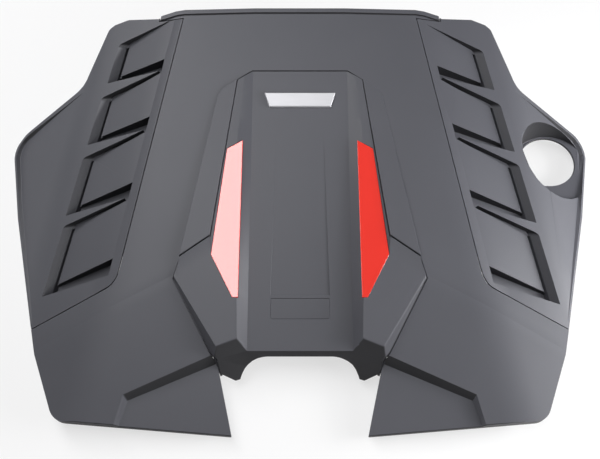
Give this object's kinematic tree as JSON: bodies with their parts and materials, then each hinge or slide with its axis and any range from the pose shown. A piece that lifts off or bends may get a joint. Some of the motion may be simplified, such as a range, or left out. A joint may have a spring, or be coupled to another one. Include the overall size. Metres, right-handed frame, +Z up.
{
  "type": "engine cover",
  "caption": "Moulded plastic engine cover with a sunken centre channel, louvred side panels, folded front wings, gloss trim inserts and push-on grommets underneath.",
  "frame": {"origin": "middle of the outline in plan, level with the lowest edge of the side flanges", "axes": "+Z up and away from the engine, +Y towards the raised rear edge, +X towards the filler opening"},
  "size_m": [0.7402, 0.5, 0.1417],
  "materials": {
    "shell": "fine grain, dark grey",
    "trim": "gloss red",
    "badge": "satin",
    "plate": "satin",
    "rubber": "matte",
    "foam": "matte fleece"
  },
  "bodies": {
    "root": {"main_cover": "shell", "centre_panel": "shell", "left_side_panel": "shell", "right_side_panel": "shell", "left_trim_insert": "trim", "right_trim_insert": "trim", "badge_bar": "badge", "badge_plate": "plate", "rear_left_grommet": "rubber", "rear_right_grommet": "rubber", "front_left_grommet": "rubber", "front_right_grommet": "rubber", "left_foam_pad": "foam", "right_foam_pad": "foam", "rear_foam_pad": "foam"}
  },
  "joints": []
}
